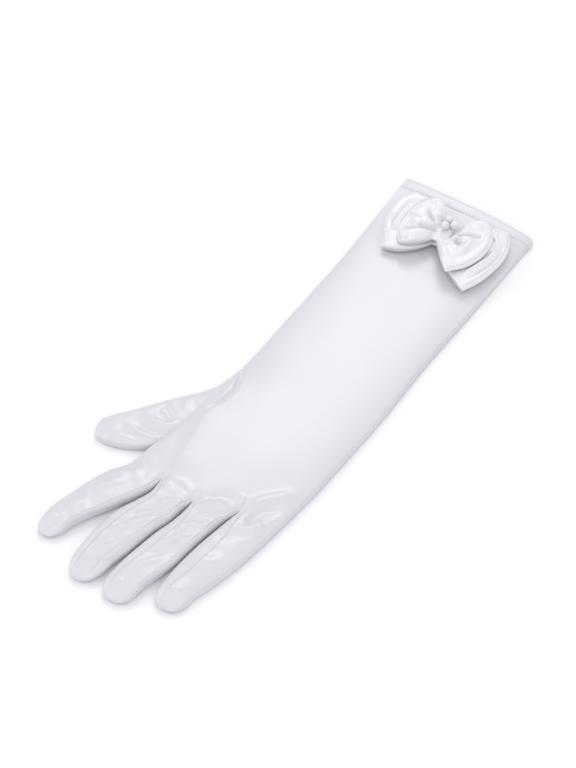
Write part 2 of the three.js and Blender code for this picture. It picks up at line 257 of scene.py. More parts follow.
HAND = columns(
    "down left right top",
    (0, -40, 40, 7.4),
    (34, -39.3, 39.7, 7.4),
    (70, -38.4, 39.1, 7.6),
    (105, -38.3, 38.2, 8),
    (127, -38.4, 38.5, 8.3),
    (145, -38.3, 38.9, 8.6),
    (158, -38.6, 38.8, 8.8),
    (170, -39.8, 38.4, 9),
    (182, -41.2, 38, 9.2),
    (194, -41.9, 37.6, 9.3),
    (204, -41.6, 37.2, 9.4),
    (212, -42.4, 36.6, 9.3),
    (220, -44.2, 36, 9.1),
    (230, -46.9, 35.2, 8.8),
    (238, -49, 34.4, 8.5),
    (243, -50.4, 33.9, 8.3),
)
TURN_DOWN = 196.0  # from here the hand's columns turn into the fingers' columns
ROOTS_DOWN = 243.0  # and here they have turned
CROTCH_TOP = 6.9
DIMPLE = {"radius": 2.2, "stretch": 1.6}  # the dip at a crotch, longer than it is wide
ARM_CROWDING = 0.55  # how far the arm's columns crowd to its side edges
SIDE_Z = 1.7  # height of the arm's folded side edges
CUFF_CORNER = {"z": 4.6, "down": 70}  # of the edge at the open cuff, on the thumb's side
THUMB_SEAM = {"z": 5.4, "radius": 5.0, "start": (160, 184), "end": (244, 226)}  # at the thumb
LITTLE_SIDE = {"z": 2.4, "down": (200, 243)}  # and beside the little finger
FLAT_Z = 0.15  # underside of the cloth
FOLD_RADIUS = 1.7  # how far in the side fold is round
PALM_INSET = 1.6  # how far the underside draws in
SHOULDER = 0.28  # part of the cloth's height that its folded side edge takes
BROAD_POWER = 0.5
EDGE_BEAD = {"height": 0.22, "in": 0.9, "width": 0.35}  # the pressed fold stands up a little
ARM_STEP = 1.5
HAND_STEP = 0.55
FINE_DOWN = 190  # where the finer rows begin
HEM_INSIDE = 0.8  # where the arm begins, inside the hem
CLOTH = 0.55
HOLLOW = {"step": 4, "depth": 2.0, "down": (20, 60)}

STRIP_COLUMNS = 10
BACK_COLUMNS = 26
FINGER_COLUMNS = 2 * STRIP_COLUMNS + BACK_COLUMNS
WALL_STEPS = 5
PALM_COLUMNS = 7
FINGER_STEP = 0.5
TIP_ROWS = 26


def stations_of(*rows):
    return columns("left_x left_y right_x right_y top left_strip right_strip", *rows)


# Each finger: left and right edge and the top of its back at some stations, then a round tip.
FINGERS = {
    "index": stations_of(
        (-50.4, -244.8, -29.9, -242.7, 8.3, 3, 0.6),
        (-54.2, -250.5, -30.6, -250.5, 7.8, 4, 1.8),
        (-57.6, -256.8, -34, -258.5, 7.3, 4.5, 2.2),
        (-60.2, -264.4, -37.8, -265.6, 7.4, 4.5, 2.3),
        (-62.6, -272.8, -41.8, -273.2, 7, 4.5, 2.3),
        (-64.7, -281, -45.8, -280.6, 7.2, 4.2, 2.3),
        (-65.9, -286.4, -48.6, -286, 6.9, 4, 2.1),
        (-66.2, -289.6, -50.4, -290, 6.7, 3.8, 1.8),
    ),
    "middle": stations_of(
        (-29.9, -242.7, -8.4, -246.1, 8.4, 0.6, 0.6),
        (-29.8, -252.6, -10.6, -253, 7.9, 3.4, 1.8),
        (-33.2, -261.6, -12.1, -262.5, 7.3, 4.8, 2.6),
        (-36.6, -270.2, -14.8, -271.5, 7.5, 5.2, 3.2),
        (-38.7, -280, -16.7, -281, 7, 5.2, 3.6),
        (-39.6, -290, -18.2, -290.5, 7.1, 4.8, 4.2),
        (-39.2, -298.6, -20.1, -298.4, 6.8, 4.2, 4.6),
    ),
    "ring": stations_of(
        (-8.4, -246.1, 14.2, -237.8, 8.4, 0.6, 0.6),
        (-9.2, -252.5, 10.2, -248.6, 7.9, 3.2, 1.6),
        (-10.8, -262, 7.7, -260.5, 7.3, 4.8, 1.9),
        (-13.5, -272.5, 6.4, -271.5, 7.5, 5.9, 2),
        (-15.5, -283.5, 5.1, -283, 6.9, 5.6, 2),
        (-16.9, -293.5, 2.8, -293, 7.1, 4.8, 1.9),
        (-17.4, -301.6, 0.5, -301.2, 6.7, 3.6, 1.8),
    ),
    "little": stations_of(
        (14.2, -237.8, 34, -240.5, 8.3, 0.6, 3),
        (11.4, -248.4, 32.9, -250, 7.8, 5, 4),
        (9, -260.5, 31.2, -262, 7.2, 7.4, 4.5),
        (7.5, -272, 29.1, -273, 7.3, 8, 4.5),
        (6.6, -283.5, 26.3, -284, 6.9, 7, 4.2),
        (6.7, -292.6, 23.7, -292.4, 6.7, 5.2, 4),
    ),
}
LITTLE = FINGERS["little"]
CROTCHES = np.array(
    [(finger["left_x"][0], finger["left_y"][0]) for finger in FINGERS.values()]
    + [(LITTLE["right_x"][0], LITTLE["right_y"][0])]
)
CAPS = {  # each tip's length, and how square it is
    "index": (12.8, 2.1),
    "middle": (16.2, 2.2),
    "ring": (14.2, 2.7),
    "little": (13.2, 2.6),
    "thumb": (3.2, 2.0),
}
TIP_FLAT = 1.7  # how far a tip's back stays level before it sinks
TIP_ROUND = 0.75  # and how steeply it then meets the seam
TIP_Z = 2.9
TIP_RISE = 3.5  # height over the tip's seam at which a finger has its whole section
TIP_LEAN = 0.3  # how far a fingertip leans from square to the finger's own line
LEAN_RUN = 3.0  # the last stretch of that line
ROOT_LENGTH = 11.0  # where a finger has become a tube of its own
STRIP_ROUND = {"reach": 2.6, "most": 0.9, "power": 2.3}  # how a finger's strip rounds off beside a gap
STRIP_MOST = 0.46  # most of a finger's width that one strip takes
OUTER_SIDE = {"z": 2.0, "undercut": 1.8, "round": 0.4}  # the outer fingers' thin pressed edges
GAP_SIDE = {"z": 4.0, "undercut": 3.0}  # the fingers' sides at the gaps between them
UNDERCUT_MOST = 0.3  # most of a finger's width that one undercut takes
THUMB = stations_of(
    (-36.6, -160, -30, -172, 5, 2, 2),
    (-39.9, -172.6, -32, -186, 5.8, 3, 3),
    (-46.2, -184.7, -36, -201, 6.3, 3.5, 3.5),
    (-51.8, -191.6, -39.6, -212.5, 6.4, 4, 4),
    (-57.8, -199, -44.4, -225, 6.3, 4, 4),
    (-65.4, -209.4, -54.4, -234, 6.1, 4, 4),
    (-71.6, -217.6, -61.8, -237.4, 5.9, 4, 4),
    (-75.2, -222.2, -67.8, -238.9, 5.6, 4, 4),
    (-77.2, -225.4, -72.8, -239, 4.7, 3, 3),
)

# Ridges and valleys: points of the fold's line, height, width and, where it differs, the width on
# the line's other side. They follow the photograph's bright and dark bands.
HAND_FOLDS = [
    ([(-38.2, -158), (-33.7, -170.7), (-31.5, -176.6), (-31.9, -184.2), (-34.6, -192.6), (-36.7, -199)],
     -0.9, 0.9),
    ([(-38.4, -164), (-35.8, -171.5), (-34.4, -178), (-34.9, -186), (-37.2, -193.5)], 0.9, 1.8),
    ([(-36, -186), (-33.5, -200), (-32.2, -208), (-29.4, -222.6), (-27, -235.1), (-26.8, -244)],
     0.8, 11.0, 3.6),
    ([(10.5, -230), (12, -234), (14.2, -238)], 0.7, 1.2),
    ([(15, -239.4), (18.9, -229.8), (24.8, -222.4), (33.2, -213.2)], 1.2, 2.8),
    ([(17, -243), (19.4, -242.4), (23.9, -233.2), (32.6, -225)], -1.3, 2.2),
    ([(-7, -248), (-5.1, -249.2), (0.7, -243.1), (12.7, -240.7)], 1, 1.6),
    ([(-2.9, -244.4), (1.7, -237.9), (10.1, -235.6)], -0.8, 2.4),
    ([(-28.6, -243.5), (-20, -241), (-9, -245)], 0.5, 2),
]
FINGER_FOLDS = {
    "index": [
        ([(-42, -252), (-42, -244.3), (-40.6, -233)], 0.45, 3.2),
        ([(-56.6, -269.2), (-50.2, -262.6), (-42.5, -254)], 0.92, 2.2),
        ([(-63.3, -282.8), (-59.4, -277.9), (-53.7, -273)], -1.03, 2.2),
        ([(-65.2, -290.3), (-60, -292), (-56.7, -293.2)], 0.8, 1.2),
        ([(-61, -298), (-57, -296), (-53, -296)], -0.92, 1.2),
    ],
    "middle": [
        ([(-22.5, -260.5), (-17.6, -253.6), (-8.5, -250.4)], 1.03, 1.7),
        ([(-28.6, -272.9), (-22, -262.9), (-12.1, -257.4)], -1.15, 1.8),
        ([(-34.9, -289.5), (-28.4, -279.5), (-18.7, -267.4), (-11.5, -260.2)], 1.03, 2),
        ([(-37.2, -300.1), (-30.1, -289.8), (-24.3, -282.6)], -1.03, 2.2),
        ([(-33.5, -308.5), (-23.5, -298.7), (-20.3, -284.4), (-15.9, -271.4)], 0.92, 1.7),
    ],
    "ring": [
        ([(-2.3, -253.1), (7.6, -246.4), (13.1, -243.8)], -1.26, 1.6),
        ([(-5.3, -269.6), (-0.9, -257.7), (3.6, -252.5)], -1.03, 1.7),
        ([(-7.4, -266), (3.9, -256.8), (9.4, -249.3)], 0.92, 1.4),
        ([(-6.4, -278.2), (-1.1, -269), (6, -259.8)], 1.03, 1.7),
        ([(-8.2, -287.1), (-1.7, -278.3), (4.8, -268.4)], -1.03, 2),
        ([(-11.6, -304.9), (-9.1, -301), (-5.2, -296.3)], -0.92, 1.6),
        ([(-12, -296), (-6, -290), (1, -281)], 0.69, 1.8),
    ],
    "little": [
        ([(16.5, -251), (25.2, -244.4), (28.2, -239.5), (33, -231.3)], 1.15, 2),
        ([(12, -262), (20, -254), (30, -247)], -0.57, 2.4),
        ([(13, -283), (18, -274), (25, -265)], 0.57, 3),
        ([(9, -299), (13, -296), (18, -293)], 0.69, 1.6),
    ],
    "thumb": [
        ([(-58.5, -205.5), (-52.4, -207.6), (-45.2, -212.3)], -1.49, 2.4),
        ([(-65.2, -216.2), (-54, -215.9), (-43, -213.9)], 1.15, 1.6),
        ([(-60.6, -222.6), (-51.8, -221.6), (-44, -218.9)], -1.26, 1.3),
        ([(-63.2, -225.6), (-52.7, -225.7), (-45.8, -224.7)], 0.92, 1.6),
        ([(-66.9, -231.2), (-60.2, -229.6), (-51.3, -227.8)], -0.57, 1.4),
    ],
}
WRINKLES = {
    "hand": {"height": 0.07, "count": 7, "lengths": (14, 46)},
    "finger": {"height": 0.14, "count": 7, "lengths": (6, 15)},
}
RELIEF_EDGE = (0.2, 3.0)  # distance from a side edge over which folds grow
FOLDS_GROW = 2.0  # and from a finger's root
FOLDS_RISE = {"finger": 5, "thumb": 4}  # height over a tip's seam at which they are whole
SEAM = {"depth": 0.34, "width": 0.28, "welt": 0.2, "welt_off": 0.6, "welt_width": 0.36}
PUCKER = {"length": 2.6, "height": 0.05, "drift": 0.7, "drift_length": 17, "off": 1.1, "spread": 1.2}
SEEDS = {"hand": 5, "finger": 11, "thumb": 17, "left_seam": 20, "right_seam": 30, "hem": 3}


def cloth_height(inwards, half, side, top, radius, bead_part=1.0):
    """Height of lying cloth at a distance in from its folded side edge."""
    r = np.clip(inwards / radius, 0, 1)
    shoulder = side + SHOULDER * (top - side)
    broad = np.sin(np.pi / 2 * np.clip(inwards / half, 0, 1)) ** BROAD_POWER
    bead = bead_part * EDGE_BEAD["height"] * bell(inwards, EDGE_BEAD["in"], EDGE_BEAD["width"])
    return side + (shoulder - side) * np.sqrt(1 - (1 - r) ** 2) + (top - shoulder) * broad + bead


def strip_parts(width, left_strip, right_strip):
    """Places of a finger's columns across its width, crowded at its edges and seams."""
    left = left_strip / width
    right = right_strip / width
    strip = crowded_ends(STRIP_COLUMNS)
    back = left + (1 - left - right) * crowded_ends(BACK_COLUMNS)[1:-1]
    return np.concatenate([left * strip, back, 1 - right + right * strip])


def crotch_row():
    """The row of points that the hand's back and the fingers' backs share."""
    points = []
    for i, stations in enumerate(FINGERS.values()):
        a, b = CROTCHES[i], CROTCHES[i + 1]
        width = np.linalg.norm(b - a)
        parts = strip_parts(width, stations["left_strip"][0], stations["right_strip"][0])
        root = a + (b - a) * parts[:, None]
        points.append(root if i == 0 else root[1:])
    return np.concatenate(points)


def hand_sides(down):
    """Heights of the hand's left and right side edges, and how far in its left edge is round."""
    by_thumb = (smoothstep(*THUMB_SEAM["start"], down) * smoothstep(*THUMB_SEAM["end"], down))[:, None]
    arm_side = mix(CUFF_CORNER["z"], SIDE_Z, smoothstep(0, CUFF_CORNER["down"], down)[:, None])
    left_side = mix(arm_side, THUMB_SEAM["z"], by_thumb)
    left_radius = mix(FOLD_RADIUS, THUMB_SEAM["radius"], by_thumb)
    right_side = mix(SIDE_Z, LITTLE_SIDE["z"], smoothstep(*LITTLE_SIDE["down"], down)[:, None])
    return left_side, right_side, left_radius


def hand_back(down, offset):
    """The back of the arm and hand: one row of points for each value of down."""
    row = crotch_row()
    count = len(row)
    even = np.arange(count) / (count - 1)
    arm_parts = mix(even, crowded_ends(count - 1), ARM_CROWDING)
    root_parts = (row[:, 0] - row[0, 0]) / (row[-1, 0] - row[0, 0])
    turned = smoothstep(TURN_DOWN, ROOTS_DOWN, down)[:, None]
    parts = mix(arm_parts[None, :], root_parts[None, :], turned)
    left = read(HAND, "left", down)[:, None] - offset
    right = read(HAND, "right", down)[:, None] + offset
    x = left + (right - left) * parts
    y = -down[:, None] + turned**2 * (row[:, 1] + ROOTS_DOWN)[None, :]
    top = read(HAND, "top", down)[:, None] + offset
    left_side, right_side, left_radius = hand_sides(down)
    half = (right - left) / 2
    on_left = cloth_height(x - left, half, left_side, top, left_radius)
    on_right = cloth_height(right - x, half, right_side, top, FOLD_RADIUS)
    z = np.where(parts < 0.5, on_left, on_right)
    for cx, cy in CROTCHES[1:-1]:
        near = bell(x, cx, DIMPLE["radius"]) * bell(y, cy, DIMPLE["stretch"] * DIMPLE["radius"])
        z = z - (top - CROTCH_TOP) * near
    return np.stack([x, y, z], axis=2)


def side_wall(edge, side, inset):
    """Rows of the cloth that turns under from an edge, down to the flat underside."""
    rows = []
    for angle in np.pi / 2 * np.arange(1, WALL_STEPS + 1) / WALL_STEPS:
        inwards = inset[:, None] * (1 - math.cos(angle))
        z = mix(edge[:, 2], FLAT_Z, math.sin(angle))
        rows.append(np.column_stack([edge[:, :2] + side * inwards, z]))
    return rows


def underside(left_edge, right_edge, left_inset, right_inset, palm_parts):
    """The cloth under a row of backs, from its right edge round the bottom to its left edge."""
    across = right_edge[:, :2] - left_edge[:, :2]
    length = np.linalg.norm(across, axis=1, keepdims=True)
    side = across / np.maximum(length, 1e-6)
    right_wall = side_wall(right_edge, -side, right_inset)
    left_wall = side_wall(left_edge, side, left_inset)
    palm = [mix(right_wall[-1], left_wall[-1], part) for part in palm_parts[1:-1]]
    return np.stack(right_wall + palm + left_wall[::-1], axis=1)


def hand_palm_parts():
    """Places across the palm where the four fingers' undersides divide."""
    x = CROTCHES[::-1, 0]
    ends = (x[0] - x) / (x[0] - x[-1])
    parts = [0.0]
    for a, b in zip(ends[:-1], ends[1:]):
        parts += list(a + (b - a) * np.arange(1, PALM_COLUMNS + 1) / PALM_COLUMNS)
    return parts


def hand_ring(down, offset=0.0):
    """Closed rings round the arm and hand, from the left edge over the back and under the palm,
    and how many of their columns are the back."""
    back = hand_back(down, offset)
    inset = np.full(len(down), PALM_INSET)
    under = underside(back[:, 0], back[:, -1], inset, inset, hand_palm_parts())
    row = crotch_row()
    beyond = row[:, 1] + ROOTS_DOWN
    turned = smoothstep(TURN_DOWN, ROOTS_DOWN, down)[:, None] ** 2
    bend = np.interp(under[:, :, 0], row[:, 0], beyond)
    ends = np.interp(under[:, :, 0], [row[0, 0], row[-1, 0]], [beyond[0], beyond[-1]])
    under[:, :, 1] += turned * (bend - ends)
    under[:, :, 2] -= offset
    return np.concatenate([back, under], axis=1), back.shape[1]


# Fingers

def tip_axis(key, middle, across, lean):
    """Direction of a fingertip: square to its last edges, leaning to the finger's own line."""
    square_on = np.array([across[1], -across[0]]) / np.linalg.norm(across)
    square_on = square_on if square_on @ (middle[-1] - middle[-2]) > 0 else -square_on
    last = spline(key, middle, np.array([key[-1] - LEAN_RUN, key[-1]]))
    along = (last[1] - last[0]) / np.linalg.norm(last[1] - last[0])
    return mix(square_on, along, lean)


def tip_rows(stations, middle, edges, axis, run, tip_form):
    """Rows of a round tip beyond the last edges of a finger, whose back sinks to its seam."""
    cap, square = tip_form
    width = np.linalg.norm(edges[1] - edges[0])
    side = (edges[1] - edges[0]) / width
    t = np.sin(np.pi / 2 * np.arange(1, TIP_ROWS + 1) / TIP_ROWS)
    narrowing = np.maximum(1 - t**square, 0) ** (1 / square)
    sink = np.maximum(1 - t**TIP_FLAT, 0) ** TIP_ROUND
    centre = middle + axis * cap * t[:, None]
    half = width / 2 * narrowing[:, None]
    return {
        "left": centre - side * half,
        "right": centre + side * half,
        "top": TIP_Z + (stations["top"][-1] - TIP_Z) * sink,
        "left_strip": stations["left_strip"][-1] * narrowing,
        "right_strip": stations["right_strip"][-1] * narrowing,
        "low": TIP_Z - (TIP_Z - FLAT_Z) * narrowing,
        "run": run + cap * t,
    }


def tube_rows(stations, tip_form, lean):
    """Edges, heights and strips of a finger's rows, from its root to its round tip."""
    left = np.column_stack([stations["left_x"], stations["left_y"]])
    right = np.column_stack([stations["right_x"], stations["right_y"]])
    middle = (left + right) / 2
    key = run_along(middle)
    at = np.linspace(0, key[-1], int(key[-1] / FINGER_STEP) + 1)
    body = {name: spline(key, stations[name], at) for name in ("top", "left_strip", "right_strip")}
    body |= {"left": spline(key, left, at), "right": spline(key, right, at)}
    body |= {"low": np.full(len(at), FLAT_Z), "run": at}
    axis = tip_axis(key, middle, right[-1] - left[-1], lean)
    tip = tip_rows(stations, middle[-1], (left[-1], right[-1]), axis, key[-1], tip_form)
    return {name: np.concatenate([body[name], tip[name]]) for name in body}


def finger_columns(rows, width):
    """Places of the columns across a finger, for each of its rows."""
    return np.stack([
        strip_parts(w, min(a, STRIP_MOST * w), min(b, STRIP_MOST * w))
        for w, a, b in zip(width, rows["left_strip"], rows["right_strip"])
    ])


def finger_heights(rows, parts, width, inner_left, inner_right):
    """Heights of a finger's back: rounded off beside a gap, and pressed thin at an outer edge."""
    top = rows["top"][:, None]
    half = width[:, None] / 2
    narrow = np.clip((top - TIP_Z) / TIP_RISE, 0, 1)
    inwards = (1 - np.abs(2 * parts - 1)) * half
    strip = np.where(parts < 0.5, rows["left_strip"][:, None], rows["right_strip"][:, None])
    reach = np.clip(np.maximum(strip, STRIP_ROUND["reach"]), 1e-3, STRIP_ROUND["most"] * half)
    inside = np.clip(inwards / reach, 0, 1)
    power = STRIP_ROUND["power"]
    gap_side = mix(TIP_Z, GAP_SIDE["z"], narrow)
    by_gap = gap_side + (top - gap_side) * (1 - (1 - inside) ** power) ** (1 / power)
    outer_side = mix(TIP_Z, OUTER_SIDE["z"], narrow)
    radius = np.minimum(FOLD_RADIUS, OUTER_SIDE["round"] * half)
    outer = cloth_height(inwards, half, outer_side, top, radius, narrow)
    at_gap = np.where(parts < 0.5, inner_left, inner_right)
    return np.where(at_gap, by_gap, outer)


def finger_ring(rows, inner_left, inner_right, start_z=None):
    """Closed rings round a finger. start_z has the heights of its first row, where it grows out
    of the hand."""
    across = rows["right"] - rows["left"]
    width = np.maximum(np.linalg.norm(across, axis=1), 1e-3)
    parts = finger_columns(rows, width)
    xy = rows["left"][:, None, :] + across[:, None, :] * parts[:, :, None]
    z = finger_heights(rows, parts, width, inner_left, inner_right)
    grown = np.ones(len(width))
    if start_z is not None:
        grown = smoothstep(0, ROOT_LENGTH, rows["run"])
        z = mix(start_z[None, :], z, grown[:, None])
    back = np.concatenate([xy, z[:, :, None]], axis=2)
    outer_inset = np.minimum(OUTER_SIDE["undercut"], UNDERCUT_MOST * width)
    gap_inset = np.minimum(GAP_SIDE["undercut"], UNDERCUT_MOST * width) * grown
    left_inset = gap_inset if inner_left else outer_inset
    right_inset = gap_inset if inner_right else outer_inset
    parts_below = np.arange(PALM_COLUMNS + 1) / PALM_COLUMNS
    under = underside(back[:, 0], back[:, -1], left_inset, right_inset, parts_below)
    lift = (rows["low"] - FLAT_Z)[:, None]
    depth = (back[:, :1, 2] - under[:, :, 2]) / np.maximum(back[:, :1, 2] - FLAT_Z, 1e-6)
    under[:, :, 2] += lift * np.clip(depth, 0, 1)
    return np.concatenate([back, under], axis=1)


def seam_relief(points, column, run, seed):
    """Sinks a seam's column, with a fine welt and puckers on both sides of it."""
    across = apart(points, points[:, column : column + 1])
    groove = SEAM["depth"] * bell(across, 0, SEAM["width"])
    welt = SEAM["welt"] * bell(across, SEAM["welt_off"], SEAM["welt_width"])
    phase = np.random.default_rng(seed).uniform(0, math.tau)
    drift = PUCKER["drift"] * np.sin(math.tau * run / PUCKER["drift_length"] + phase)
    pull = np.sin(math.tau * run / PUCKER["length"] + drift + phase)[:, None]
    beside = np.exp(-((across - PUCKER["off"]) ** 2) / PUCKER["spread"])
    return PUCKER["height"] * pull * beside + welt - groove


def back_relief(points, folds, wrinkles, seed):
    """Folds and fine wrinkles of the back, fading out at its side edges."""
    x, y = points[:, :, 0], points[:, :, 1]
    from_edge = np.minimum(apart(points, points[:, :1]), apart(points, points[:, -1:]))
    fade = smoothstep(*RELIEF_EDGE, from_edge)
    fine = waves(x, y, seed, wrinkles["count"], *wrinkles["lengths"])
    return fade * (folded(x, y, folds) + wrinkles["height"] * fine)


# The glove's pieces

FOURCHETTES = ("fourchette_index_middle", "fourchette_middle_ring", "fourchette_ring_little")


def hollow(grid):
    """A coarser copy of a grid of rings inside it, for its inner side. Beyond the cuff it lies
    deeper, clear of the folds."""
    rows = sorted(set(range(0, grid.shape[0], HOLLOW["step"])) | {grid.shape[0] - 1})
    cols = list(range(0, grid.shape[1], HOLLOW["step"]))
    depth = mix(CLOTH, HOLLOW["depth"], smoothstep(*HOLLOW["down"], -grid[:, :, 1:2]))
    inside = (grid - depth * grid_normals(grid))[np.ix_(rows, cols)]
    inside[:, :, 2] = np.maximum(inside[:, :, 2], FLAT_Z + CLOTH)
    return inside


def hand_grid():
    """The arm's and hand's rings with their folds, and the heights of the fingers' first rows."""
    arm = np.arange(HEM_INSIDE, FINE_DOWN, ARM_STEP)
    down = np.concatenate([arm, np.arange(FINE_DOWN, ROOTS_DOWN, HAND_STEP), [ROOTS_DOWN]])
    grid, back_count = hand_ring(down)
    folds = HAND_FOLDS + [f for name in FINGERS for f in FINGER_FOLDS[name]]
    grid[:, :back_count, 2] += back_relief(grid[:, :back_count], folds, WRINKLES["hand"], SEEDS["hand"])
    return grid, grid[-1, :back_count, 2]


def finger_grid(i, name, root_z):
    """A finger's rings with their folds and seams, growing out of the hand's last row."""
    rows = tube_rows(FINGERS[name], CAPS[name], TIP_LEAN)
    start = root_z[i * FINGER_COLUMNS : (i + 1) * FINGER_COLUMNS + 1]
    inner_left, inner_right = i > 0, i < len(FOURCHETTES)
    grid = finger_ring(rows, inner_left, inner_right, start)
    top = grid[:, : FINGER_COLUMNS + 1]
    folds = HAND_FOLDS + FINGER_FOLDS[name]
    relief = back_relief(top, folds, WRINKLES["finger"], SEEDS["finger"] + i)
    if inner_left:
        relief = relief + seam_relief(top, STRIP_COLUMNS, rows["run"], SEEDS["left_seam"] + i)
    if inner_right:
        column = FINGER_COLUMNS - STRIP_COLUMNS
        relief = relief + seam_relief(top, column, rows["run"], SEEDS["right_seam"] + i)
    grown = smoothstep(0, FOLDS_GROW, rows["run"])[:, None]
    narrowing = smoothstep(0, FOLDS_RISE["finger"], rows["top"] - TIP_Z)[:, None]
    grid[:, : FINGER_COLUMNS + 1, 2] += relief * grown * narrowing
    return grid


def build_glove(satin):
    """The trank with its hollow inside, and the three fourchettes between the fingers."""
    hand, root_z = hand_grid()
    trank = Shell()
    trank.add(hand)
    hollows = [hollow(hand)]
    strips = [Shell() for _ in FOURCHETTES]
    for i, name in enumerate(FINGERS):
        grid = finger_grid(i, name, root_z)
        count = grid.shape[1]
        left, right = [], []
        if i > 0:
            left = [*range(STRIP_COLUMNS), *range(count - WALL_STEPS, count)]
            strips[i - 1].add(grid, spans=left)
        if i < len(FOURCHETTES):
            right = list(range(FINGER_COLUMNS - STRIP_COLUMNS, FINGER_COLUMNS + WALL_STEPS))
            strips[i].add(grid, spans=right)
        trank.add(grid, spans=[c for c in range(count) if c not in left + right])
        hollows.append(hollow(grid))
    for inside in hollows:
        trank.add(inside, flip=True)
    trank.make("satin_trank", satin, "satin", ["trank"])
    for strip, node in zip(strips, FOURCHETTES):
        strip.make("satin_" + node, satin, "satin", [node])


def build_thumb(satin):
    rows = tube_rows(THUMB, CAPS["thumb"], 0.0)
    grid = finger_ring(rows, False, False)
    top = grid[:, : FINGER_COLUMNS + 1]
    narrowing = smoothstep(0, FOLDS_RISE["thumb"], rows["top"] - TIP_Z)[:, None]
    relief = back_relief(top, FINGER_FOLDS["thumb"], WRINKLES["finger"], SEEDS["thumb"])
    grid[:, : FINGER_COLUMNS + 1, 2] += relief * narrowing
    thumb = Shell()
    thumb.add(grid)
    thumb.add(hollow(grid), flip=True)
    thumb.make("satin_thumb", satin, "satin", ["thumb"])


# Round the hem's section: distance down from the edge and distance out from the arm's cloth
HEM_PROFILE = [
    (6.9, -0.14), (6.85, 0.08), (6.75, 0.24), (6.5, 0.34), (5.9, 0.2), (5.3, 0.4), (3.5, 0.5),
    (2, 0.5), (0.9, 0.42), (0.35, 0.26), (0.05, 0), (0.1, -0.3), (0.6, -0.62), (3, -0.75),
    (6, -0.75),
]
HEM_WAVE = {"height": 0.5, "count": 4, "lengths": (18, 60), "down": (3, 6)}
HEM_LOWEST = 0.05
STITCH = {"down": 5.9, "out": 0.22, "length": 1.5, "pitch": 2.1, "radius": 0.17, "sides": 6, "rings": 5}
STITCH_CLEAR = 1.2  # how many of its radii a stitch lies over the table at least


def hem_ring(down, out):
    """A ring round the arm at the hem, whose lower edge runs a little unevenly."""
    ring = hand_ring(np.array([max(down, 0.0)]), out)[0][0]
    ring[:, 2] = np.maximum(ring[:, 2], HEM_LOWEST)
    uneven = waves(ring[:, 0], 0, SEEDS["hem"], HEM_WAVE["count"], *HEM_WAVE["lengths"])
    ring[:, 1] += HEM_WAVE["height"] * uneven * smoothstep(*HEM_WAVE["down"], down)
    return ring


def build_hem(satin):
    """The turned hem, a soft band round the arm opening."""
    grid = np.stack([hem_ring(down, out) for down, out in HEM_PROFILE])
    make_piece("satin_hem", grid, satin, "satin", ["cuff_hem"], flip=True)


def stitch(line):
    """A small capsule of thread along a short line."""
    across = np.linspace(-1, 1, STITCH["rings"])
    swell = np.sqrt(np.maximum(1 - across**4, 0)) * STITCH["radius"]
    turn = math.tau * np.arange(STITCH["sides"]) / STITCH["sides"]
    along = (line[-1] - line[0]) / np.linalg.norm(line[-1] - line[0])
    side = np.array([0.0, 1.0, 0.0])
    up = np.cross(along, side)
    section = np.cos(turn)[:, None] * side + np.sin(turn)[:, None] * up
    return line[:, None, :] + swell[:, None, None] * section[None, :, :]


def build_hem_stitches(thread):
    """Short stitches in a row round the hem, above the table everywhere."""
    ring = hem_ring(STITCH["down"], STITCH["out"])
    ring[:, 2] = np.maximum(ring[:, 2], STITCH_CLEAR * STITCH["radius"])
    ring = np.concatenate([ring, ring[:1]])
    key = run_along(ring)
    count = int(key[-1] / STITCH["pitch"])
    stitches = Shell()
    for i in range(count):
        at = i * key[-1] / count + STITCH["length"] * np.linspace(0, 1, STITCH["rings"])
        stitches.add(stitch(np.column_stack([np.interp(at, key, ring[:, k]) for k in range(3)])))
    stitches.make("hem_stitches", thread, "satin", [])


# The bow

BOW = {"x": 3.4, "y": -30.0}
ARM_TOP = 7.9
WAIST = {"near": 8.2, "far": 5.6}  # how far the gathered waist reaches to both sides
KNOT_HALF = 4.0
KNOT_PART = 0.12  # part of a wing's stations that lies inside the knot
WING_ROWS = 110
WING_COLUMNS = 110
END_CROWDING = 0.9
FAN_POWER = 0.8
KNOT_CLEAR = 0.1  # part of a wing over which its folds grow from the knot
RIM_ROUND = 0.035  # part of a wing over which its end closes
RIBBON_WAVES = {"count": 9, "lengths": (5, 14)}
EDGE_FULL = {"least": 0.3, "power": 7}  # how thick a ribbon is at its long edges, and how far in
PARTING = {"part": 0.8, "over": 0.1}  # where a ribbon's layers meet, low in its thickness
UNDER_RELIEF = 0.25  # how much of the folds shows underneath
SIDE_FADE = 1.6  # distance from an edge over which folds grow
GATHERS_REACH = {"from": -0.08, "length": 0.75}  # part of a wing that the gathers run out to

LOWER_FOLDS = [
    ([(-28.2, -11), (-30.2, -18), (-30.6, -29.4), (-28.9, -38.4), (-24.2, -49.5), (-22, -52.5)],
     0.9, 1.2),
    ([(-19.3, -12), (-24, -18.2), (-25.1, -28.8), (-23.7, -37.8), (-20.9, -45)], -2, 2.4),
    ([(-19, -53.4), (-10, -49.6), (-5.5, -44.6), (-1, -39)], 0.9, 1.3),
    ([(25.3, -52.5), (27.9, -43.9), (30.5, -36.9), (31.6, -27.8), (30.4, -19)], 1.6, 1.1),
    ([(28.1, -54.5), (31, -45.6), (33.5, -37.3), (34.4, -26.8), (32.6, -18)], -1.5, 0.65),
    ([(26.6, -30), (27.8, -25), (26.4, -20.5)], 0.9, 2.2),
    ([(18.2, -51), (22.6, -44.6), (25.2, -38.4), (26.4, -33)], -1.5, 1.7),
    ([(20, -11.6), (25.3, -16.8), (31.3, -23.5)], 0.9, 1.8),
    ([(22.5, -18.5), (27.5, -21.5), (31.5, -27)], -0.7, 0.8),
]
